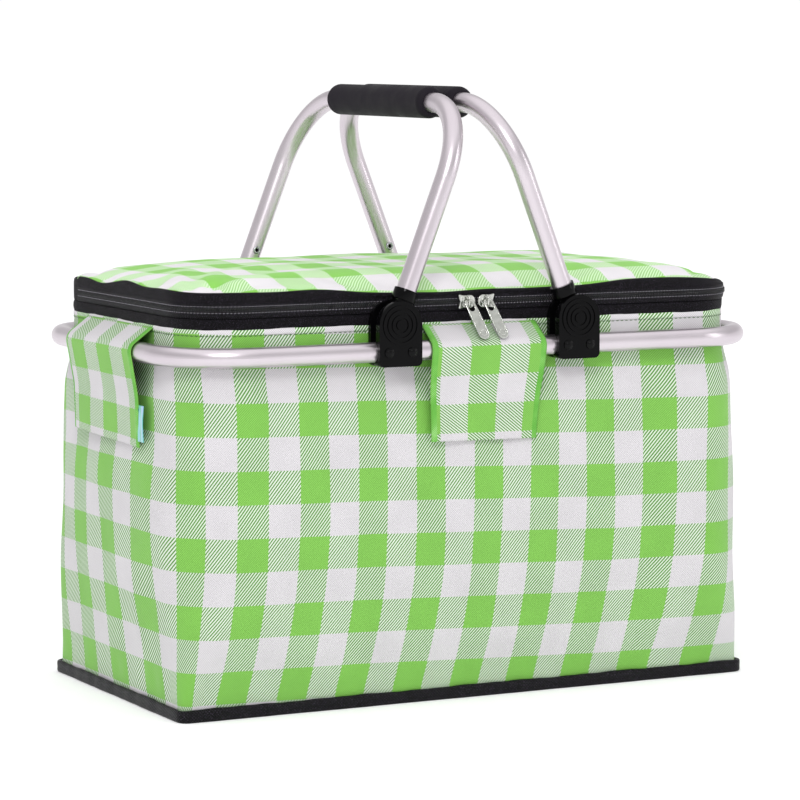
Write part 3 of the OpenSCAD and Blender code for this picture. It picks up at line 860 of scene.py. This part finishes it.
def puff(obj, rest):
    """Blows up the pad by a pressure simulation in which no point moves more than PUFF_CAP."""
    group = obj.vertex_groups.new(name="pin")
    for index, weight in enumerate(pinned_edge(rest)):
        group.add([index], float(weight), "REPLACE")
    settings = modify(obj, "CLOTH").settings
    set_all(settings, use_pressure=True, uniform_pressure_force=LID_PRESSURE, vertex_group_mass="pin",
        tension_stiffness=20, compression_stiffness=20, shear_stiffness=8, bending_stiffness=0.3,
        shrink_min=-0.02)
    settings.effector_weights.gravity = 0
    scene = bpy.context.scene
    for step in range(PUFF_FRAMES):
        scene.frame_set(step + 1)
    obj = settle(obj)
    scene.frame_set(1)
    shift = positions(obj) - rest
    length = np.linalg.norm(shift, axis=1, keepdims=True)
    move_to(obj, rest + shift * np.minimum(1, PUFF_CAP / np.maximum(length, 1e-9)))
    return obj


def plan_uv(obj, rest):
    """UV from the plan before the simulation, moved sideways so that the check falls in place."""
    index = np.zeros(len(obj.data.loops), int)
    obj.data.loops.foreach_get("vertex_index", index)
    values = rest[index, :2] + (CHECK_SIDE, 0)
    obj.data.uv_layers.new(name="weave").data.foreach_set("uv", values.astype(np.float32).ravel())


def nearest_edge(points):
    """Arc length of the nearest point of the band's outline, and the distance to it."""
    s = np.linspace(-0.5, 0.5, 700, endpoint=False) * FULL
    xy, _ = outline(s, *BAND)
    tree = kdtree.KDTree(len(s))
    for index, (x, y) in enumerate(xy):
        tree.insert((x, y, 0), index)
    tree.balance()
    found = [tree.find((x, y, 0)) for x, y, _ in points]
    return s[[f[1] for f in found]], np.array([f[2] for f in found])


def wrinkle(obj):
    """Moves the lid's edge to its wavy seam, and adds a swell and wrinkles near the front left corner."""
    co = positions(obj)
    x, y, z = co.T.copy()
    s, inset = nearest_edge(co)
    seam = lid_edge(s) * np.exp(-inset / (30 * MM)) * smoothstep(z, LID_LOW + 2 * MM, BAND_TOP - 1 * MM)
    top = smoothstep(z + seam, BAND_TOP - 3 * MM, BAND_TOP + 3 * MM)
    corner = np.hypot(x + 175 * MM, y + 75 * MM)
    ray = np.arctan2(y + 130 * MM, x + 240 * MM)
    folds = np.sin(ray * 16 + corner * 30) * bump(corner, 45 * MM, 50 * MM) * 1.3
    swell = np.sin(x * 48 + y * 20) * 0.5 + np.sin(y * 70 - x * 22 + 1.0) * 0.4
    co[:, 2] += seam + top * MM * (folds + swell)
    move_to(obj, co)


lid_pad = lid_shape()
modify(lid_pad, "REMESH", mode="VOXEL", voxel_size=LID_VOXEL)
lid_pad = settle(lid_pad)
lid_rest = positions(lid_pad)
lid_pad = puff(lid_pad, lid_rest)
plan_uv(lid_pad, lid_rest)
modify(lid_pad, "SUBSURF", levels=1, render_levels=1)
lid_pad = settle(lid_pad)
wrinkle(lid_pad)
dress(lid_pad, LID_CLOTH_PAINTED_LIGHT, "gingham", "lid", "lid_cover", "lid_foam")

lid_foil = flat_sheet("lid_foil", mm([(-3.6, -1.1), (-3.1, -0.8), (-3.1, -0.2), (-3.6, 0)], LID_LOW), BAND)
dress(lid_foil, FOIL, "foil_lining", "lid", "lid_lining")

# ---------- tabs ----------
TAB_COLUMNS = 60
TAB_ROWS = 110
TAB_SLACK = 1.12
# The tab's line, outward and up from the tube's centre: its radius round the tube, and three points of it
RING_R = TUBE_R + 1.15 * MM
SEAM = np.array([-9.1, 17.5]) * MM
KNEE = np.array([2.6, -33.0]) * MM
HEM = np.array([1.2, -69.0]) * MM
# The row of stitches above the hem lies this far from it
SEAM_UP = 30 * MM


def lengths_along(points):
    """Length of a line of points up to each of them."""
    return np.concatenate([[0], np.cumsum(np.linalg.norm(np.diff(points, axis=0), axis=1))])


def resampled(points, at):
    """Points of a line at the lengths at."""
    lengths = lengths_along(points)
    return np.column_stack([np.interp(at, lengths, column) for column in points.T])


def tab_path():
    """The tab's line and the lengths along it: seam, over the tube, down to the hem, with a soft knee."""
    def touch(p, side):
        return math.atan2(p[1], p[0]) + side * math.acos(RING_R / math.hypot(*p))
    turns = np.linspace(touch(SEAM, -1), touch(KNEE, 1), 24)
    rough = np.array([SEAM, *(RING_R * np.array([math.cos(a), math.sin(a)]) for a in turns), KNEE, HEM])
    lengths = lengths_along(rough)
    at = np.linspace(0, lengths[-1], TAB_ROWS)
    line = resampled(rough, at)
    weight = bump(at, lengths[-2], 10 * MM)[:, None]
    kernel = np.hanning(15) / np.hanning(15).sum()
    padded = np.pad(line, ((7, 7), (0, 0)), mode="edge")
    soft = np.column_stack([np.convolve(column, kernel, mode="valid") for column in padded.T])
    return line * (1 - weight) + soft * weight, at


TAB_LINE, TAB_AT = tab_path()
TAB_LENGTH = TAB_AT[-1]


def side_of(side, node):
    """Outward and sideways directions of a side, and the width of a node that lies along it."""
    outward = np.array([*SIDES[side], 0.0])
    across = np.array([-outward[1], outward[0], 0.0])
    low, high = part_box(node)
    return outward, across, high.y - low.y if side in ("left", "right") else high.x - low.x


def tab_faces(side, across_at, width, sway, seed, flare_by):
    """Rows of points of a tab's outer and inner face."""
    outward, across, _ = side_of(side, f"tab_flap_{side}")
    tangent = np.gradient(TAB_LINE, axis=0)
    tangent /= np.linalg.norm(tangent, axis=1, keepdims=True)
    down = smoothstep(TAB_AT, TAB_LENGTH * 0.35, TAB_LENGTH)[:, None]
    edge = np.minimum(width / 2 - np.abs(across_at), (TAB_LENGTH - TAB_AT)[:, None])
    turned_hem = 1 - smoothstep(edge, 4.2 * MM, 5.0 * MM)
    rounding = 1 - np.clip(1 - edge / (1.0 * MM), 0, 1) ** 2
    thickness = (1.2 * MM + 0.7 * MM * turned_hem) * (0.25 + 0.75 * rounding)
    seam_at = TAB_LENGTH - SEAM_UP
    ridge = 0.9 * MM * bump(TAB_AT, seam_at, 1.0 * MM) - 0.6 * MM * bump(TAB_AT, seam_at + 2.2 * MM, 0.9 * MM)
    billow = MM * down * (0.9 * np.sin(across_at * 55 + seed) * np.sin(TAB_AT * 60)[:, None]
        + 0.7 * np.sin(across_at * 31 + 2 * seed))
    shift = across_at * (1 + flare_by * down) + sway * down
    lift = (across_at / width) * sway * 1.6 * down
    faces = []
    for offset in (thickness / 2 + billow + ridge[:, None], billow - thickness / 2):
        reach = TAB_LINE[:, :1] + tangent[:, 1:] * offset
        height = TAB_LINE[:, 1:] - tangent[:, :1] * offset + lift
        faces.append(outward * (RIM_X, RIM_Y, 0) + UP * RIM_Z + reach[..., None] * outward
            + shift[..., None] * across + height[..., None] * UP)
    return faces


def tab_threads(side, outside, across_at, width):
    """Rows of thread near a tab's side edges, along its hem and along the seam above it."""
    outward = np.array([*SIDES[side], 0.0])

    def nearest(values, wanted):
        return int(np.argmin(np.abs(values - wanted)))

    rows = [outside[20:-5, nearest(across_at, sign * (width / 2 - 3.6 * MM))] for sign in (-1, 1)]
    for above in (3.8 * MM, SEAM_UP + 2.0 * MM):
        rows.append(outside[nearest(TAB_AT, TAB_LENGTH - above), 4:-4])
    return [paint(seam_row(f"seam_{side}_{k}", row, outward), LIGHT_THREAD) for k, row in enumerate(rows)]


def tab(side, sway, columns_at, seed, flare_by=-0.02):
    """One tab of doubled cloth with turned hems. Its hem swings sideways by sway and widens by flare_by."""
    outward, _, width = side_of(side, f"tab_flap_{side}")
    across_at = np.linspace(-0.5, 0.5, TAB_COLUMNS) * width
    outside, inside = tab_faces(side, across_at, width, sway, seed, flare_by)
    face_uv = np.stack(np.meshgrid(across_at - columns_at, (TAB_LENGTH - TAB_AT) * TAB_SLACK - 6.5 * MM), -1)
    uv = np.concatenate([face_uv, face_uv[::-1], face_uv[:1]])
    obj = doubled(f"tab_{side}_cloth", outside, inside, uv)
    hook_strip(side, inside, across_at)
    paint(obj, TAB_CLOTH)
    obj.data.materials.append(TAB_EDGE)
    turned = np.tile(width / 2 - np.abs(across_at[:-1] + across_at[1:]) / 2 < 4.4 * MM, 2 * TAB_ROWS)
    for face, at_edge in zip(obj.data.polygons, turned):
        face.material_index = int(at_edge)
    obj = join(f"tab_{side}_cloth", [obj, *tab_threads(side, outside, across_at, width)])
    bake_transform(obj)
    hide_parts(f"tab_top_{side}", f"tab_flap_{side}")


def close_sides(obj, columns):
    """Joins the two faces of a doubled cloth along its side edges."""
    with editing(obj) as model:
        model.verts.ensure_lookup_table()
        total = len(model.verts) // columns
        for column in (0, columns - 1):
            for r in range(total // 2 - 1):
                rows = r, r + 1, total - 2 - r, total - 1 - r
                model.faces.new([model.verts[row * columns + column] for row in rows])
    turn_out(obj)
    obj.data.polygons.foreach_set("use_smooth", [True] * len(obj.data.polygons))


def doubled(name, face, back, uv=None):
    """Closed strip of cloth between two grids of points."""
    obj = lattice(name, np.concatenate([face, back[::-1]]), uv, close_rows=True)
    close_sides(obj, face.shape[1])
    return obj


def hook_strip(side, inside, across_at):
    """The hook tape on the inner face of a tab."""
    outward, _, width = side_of(side, f"hook_strip_{side}")
    from_hem = TAB_LENGTH - TAB_AT
    rows = (from_hem > 4 * MM) & (from_hem < 32 * MM)
    grid = inside[rows][:, np.abs(across_at) < width / 2]
    hooks = random.normal(0, 0.12 * MM, grid.shape[:2] + (1,))
    strip = doubled(f"hook_tape_{side}", grid - outward * 0.05 * MM, grid - outward * (0.8 * MM + hooks))
    dress(strip, HOOK, "hook_tape", "tab_" + side, "hook_strip_" + side)


def seam_row(name, points, outward, pitch=2.6 * MM):
    """A row of thread along points that lie on the cloth."""
    row = resampled(points, np.arange(pitch, lengths_along(points)[-1], pitch))
    along = np.gradient(row, axis=0)
    face = np.cross(np.cross(along, outward), along)
    face /= np.linalg.norm(face, axis=1, keepdims=True)
    return spindles(name, row + 0.1 * MM * face, face, along, 1.7 * MM, 0.3 * MM, THREAD_SHAPE)


random = np.random.default_rng(7)
tab("front", -0.8 * MM, -15.5 * MM, 0.3, flare_by=-0.075)
tab("rear", -2.0 * MM, -15.5 * MM, 1.7)
tab("left", -2.5 * MM, -2.3 * MM, 2.9)
tab("right", -3.0 * MM, -2.3 * MM, 4.1)


def upright_grid(centre, across, width, low, high, columns, rows):
    """Grid of points of an upright rectangle."""
    a = np.linspace(-0.5, 0.5, columns)[None, :, None] * width
    return np.asarray(centre) + a * np.asarray(across) + np.linspace(low, high, rows)[:, None, None] * UP


def loop_patch(side):
    """Loop tape on the wall behind a tab."""
    outward, across, width = side_of(side, f"hook_strip_{side}")
    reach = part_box("loop_patches")[1]
    face = upright_grid(outward * (reach.x, reach.y, 0), across, width, 201 * MM, 225 * MM, 90, 40)
    pile = random.normal(0, 0.14 * MM, face.shape[:2] + (1,))
    return doubled("loop_" + side, face + outward * pile, face - outward * 0.85 * MM)


loops = join("loop_tape_patches", [loop_patch(side) for side in SIDES])
dress(loops, LOOP, "loop_tape", "rim", "loop_patches")

TAG_COLUMNS, TAG_ROWS = 24, 40
TAG_PLACE = -RIM_X - 1.6 * MM, -64.2 * MM, 0
tag_low, tag_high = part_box("side_tag")
tag_face = upright_grid(TAG_PLACE, (0, -1, 0), 11 * MM, tag_low.z, tag_high.z, TAG_COLUMNS, TAG_ROWS)
curl = np.linspace(0, 1, TAG_COLUMNS)[None, :] ** 2 * np.sin(np.linspace(0.4, 2.9, TAG_ROWS))[:, None]
tag_face[..., 0] -= 1.1 * MM * curl
tag = doubled("blank_tag", tag_face, tag_face + (0.7 * MM, 0, 0))
dress(tag, TAG, "tag", "tab_left", "side_tag")

# ---------- rivets ----------
rivets_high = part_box("block_rivets")[1]
PIVOT_X = 75 * MM
RIVET_X = (rivets_high.x - 3.2 * MM, 2 * PIVOT_X - rivets_high.x + 3.2 * MM)


def facing(x, y, z, sign):
    """Placement whose local Z points along sign times Y."""
    return Matrix.Translation((x, y, z)) @ Matrix.Rotation(-sign * math.pi / 2, 4, "X")


DOME = mm([(0.05, -4), (1.9, -4), (1.9, -0.9), (3.5, -0.9), (3.75, -0.6), (3.75, -0.2), (3.4, 0.1), (2.9, 0),
    (2.75, 0.2), (2.5, 0.75), (1.8, 1.15), (0.9, 1.35), (0.05, 1.4)])
RIVET_Y = rivets_high.y - 0.1 * MM
domes = [lathe("dome", DOME, facing(end * x, side * RIVET_Y, RIM_Z, side), 28)
    for side in (-1, 1) for x in RIVET_X for end in (-1, 1)]
rivet_heads = join("block_rivet_heads", domes)
turn_out(rivet_heads)
dress(rivet_heads, PAINTED, "black_rivet", "rim", "block_rivets")

TUBULAR = mm([(0.05, -5.0), (1.6, -5.0), (1.6, -0.6), (3.1, -0.55), (3.3, 0.0), (3.0, 0.6), (2.4, 0.95),
    (1.9, 0.9), (1.6, 0.5), (1.5, -0.9), (0.05, -1.0)])
# BORE is a thin disc at the bottom of each rivet's hole, coloured as painted shade.
BORE = mm([(0.05, -0.98), (1.42, -0.98), (1.42, -0.7), (0.05, -0.7)])
for hand in ("left", "right"):
    low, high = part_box("handle_rivets_" + hand)
    eyes = []
    for sign in (-1, 1):
        place = facing((low.x + high.x) / 2, sign * (RIM_Y - TUBE_R - 0.5 * MM), (low.z + high.z) / 2, -sign)
        eyes.append(paint(lathe("eye", TUBULAR, place, 36), STEEL))
        eyes.append(paint(lathe("bore", BORE, place, 24), BORE_SHADE))
    eyelets = join("tube_rivets_" + hand, eyes)
    turn_out(eyelets)
    dress(eyelets, None, "steel", "handle_" + hand, "handle_rivets_" + hand)

# ---------- zip sliders ----------
PULL_AXIS_Y = 136.19 * MM
LEAN, TILT = math.radians(-27), math.radians(-14)
PULL_LENGTH, PULL_HALF = 31 * MM, 4.3 * MM
UPRIGHT = Matrix.Rotation(math.pi / 2, 4, "X")
ARCH = mm([(0, -4.1), (-2.0, -4.1), (-3.6, -3.3), (-4.3, -1.6), (-4.45, 0), (-4.3, 1.6), (-3.6, 3.3),
    (-2.0, 4.1), (0, 4.1)])


def arc_points(centre, radius, start, end, count):
    angles = np.radians(np.linspace(start, end, count))
    return [(centre[0] + radius * math.cos(a), centre[1] + radius * math.sin(a)) for a in angles]


def slider(hand, nose):
    """Slider body and its bridge. nose is the side that its rounded end points to."""
    low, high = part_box("slider_" + hand)
    x = (low.x + high.x) / 2
    shield = arc_points((2.0 * MM, 0), 4.9 * MM, -75, 75, 14) + mm([(-3.0, 4.5), (-6.2, 5.3), (-7.2, 4.6),
        (-6.4, 1.8), (-5.6, 0.0), (-6.4, -1.8), (-7.2, -4.6), (-6.2, -5.3), (-3.0, -4.5)])
    upright = Matrix.Translation((x, high.y - 1.4 * MM, ZIP_Z)) @ UPRIGHT
    body = plate("body", [[(nose * px, pz) for px, pz in shield]], 1.9 * MM, 0.6 * MM, upright)
    rib = plate("rib", [[(nose * px * 0.62, pz * 0.6) for px, pz in shield]], 2.6 * MM, 0.5 * MM, upright)
    bridge = wire("bridge", [(x, high.y - 1.8 * MM + 0.9 * y, ZIP_Z + z) for y, z in ARCH], 0.85 * MM)
    made = join("zip_slider_" + hand, [body, rib, bridge])
    turn_out(made)
    dress(made, ZINC, "zinc", "slider_" + hand, "slider_" + hand)
    return x


def pull(hand, x):
    """Flat pull with a raised rim, a slot at its eye and a ring near its round end."""
    outer = arc_points((0, -PULL_LENGTH + PULL_HALF), PULL_HALF, 180, 360, 22) + mm([(4.3, -9), (3.9, -1),
        (3.2, 0.9), (1.6, 1.5), (-1.6, 1.5), (-3.2, 0.9), (-3.9, -1), (-4.3, -9)])
    slot = mm([(-2.3, -0.9), (2.3, -0.9), (2.5, -5.2)]) + arc_points((0, -5.6 * MM), 2.5 * MM, 0, -180, 12)
    place = (Matrix.Translation((x, -PULL_AXIS_Y, ZIP_Z)) @ Matrix.Rotation(LEAN, 4, "X")
        @ Matrix.Rotation(TILT, 4, "Y") @ UPRIGHT)
    flat = plate("flat", [outer, slot], 1.0 * MM, 0.3 * MM, place)
    middle = PULL_LENGTH / 2
    inner = [(px * 0.93, -middle + (pz + middle) * 0.975) for px, pz in outer]
    edge = wire("edge", [place @ Vector((*p, 0.3 * MM)) for p in inner], 0.6 * MM, closed=True)
    circle = arc_points((0, -PULL_LENGTH + 4.9 * MM), 2.3 * MM, 0, 345, 24)
    ring = wire("ring", [place @ Vector((*p, 0.6 * MM)) for p in circle], 0.45 * MM, closed=True)
    made = join("zip_pull_" + hand, [flat, edge, ring])
    turn_out(made)
    dress(made, ZINC, "zinc", "pull_" + hand, "pull_" + hand)


for hand, nose in (("left", 1), ("right", -1)):
    pull(hand, slider(hand, nose))


# ---------- CAD nodes that stay ----------
def finish_node(node, material, edge=0.0):
    """Gives a CAD node its material and, where asked, rounded edges."""
    obj = nodes[node]
    if edge:
        modify(obj, "WELD", merge_threshold=0.01 * MM)
        modify(obj, "BEVEL", width=edge, segments=2, limit_method="ANGLE", angle_limit=math.radians(35))
    paint(obj, material)


for name in nodes:
    if name.startswith(("rim_tube", "handle_tube")):
        finish_node(name, ALUMINIUM)
    elif name.startswith(("block_outer", "block_inner", "knuckle")):
        finish_node(name, PLASTIC, 0.45 * MM)
    elif name.startswith("grip"):
        finish_node(name, GRIP)
finish_node("pivot_pins", STEEL, 0.3 * MM)
finish_node("base_board", BOARD, 0.3 * MM)


# ---------- camera, light and floor ----------
def aimed(obj, place, target):
    """Puts a camera or a light at a place and points it at a target."""
    obj.location = place
    obj.rotation_euler = (Vector(target) - Vector(place)).to_track_quat("-Z", "Y").to_euler()


camera = linked("camera", bpy.data.cameras.new("camera"))
camera.data.lens = 160.28
camera.data.sensor_width = 36
aimed(camera, (-1.25216, -2.45991, 0.49848), (0.00123, 0.0, 0.21367))
bpy.context.scene.camera = camera

floor_mesh = bpy.data.meshes.new("floor")
floor_mesh.from_pydata([(-6, -6, 0), (6, -6, 0), (6, 6, 0), (-6, 6, 0)], [], [(0, 1, 2, 3)])
floor = add("floor", floor_mesh, smooth=False)
floor_look = Graph("pale_floor", Roughness=0.9, Emission_Color=(1, 1, 1, 1), Emission_Strength=0.22)
floor_look.colour(rgb(244, 244, 245))
paint(floor, floor_look.material)

# Brightness of the studio from the horizon up to the zenith
SKY = [(0.0, 1.0), (0.12, 1.0), (0.3, 0.62), (0.62, 0.7), (0.8, 1.15), (1.0, 1.2)]
world = bpy.data.worlds.new("studio")
bpy.context.scene.world = world
world.use_nodes = True
sky = world.node_tree
direction = sky.nodes.new("ShaderNodeSeparateXYZ")
sky.links.new(sky.nodes.new("ShaderNodeTexCoord").outputs["Generated"], direction.inputs[0])
bands = sky.nodes.new("ShaderNodeValToRGB")
sky.links.new(direction.outputs["Z"], bands.inputs[0])
fill_ramp(bands, [(at, (level, level, level, 1)) for at, level in SKY])
sky.links.new(bands.outputs[0], sky.nodes["Background"].inputs[0])
sky.nodes["Background"].inputs[1].default_value = 1.02


def softbox(name, place, size, power):
    """Rectangular light that points at the bag."""
    light = linked(name, bpy.data.lights.new(name, "AREA"))
    light.data.shape = "RECTANGLE"
    light.data.size, light.data.size_y = size
    light.data.energy = power
    aimed(light, place, (0, 0, 0.2))


softbox("key", (-0.9, -1.6, 1.6), (0.5, 0.5), 13)
softbox("fill", (1.6, -1.2, 0.9), (0.3, 0.9), 3)
bpy.context.scene.view_settings.view_transform = "Standard"

bpy.context.view_layer.update()
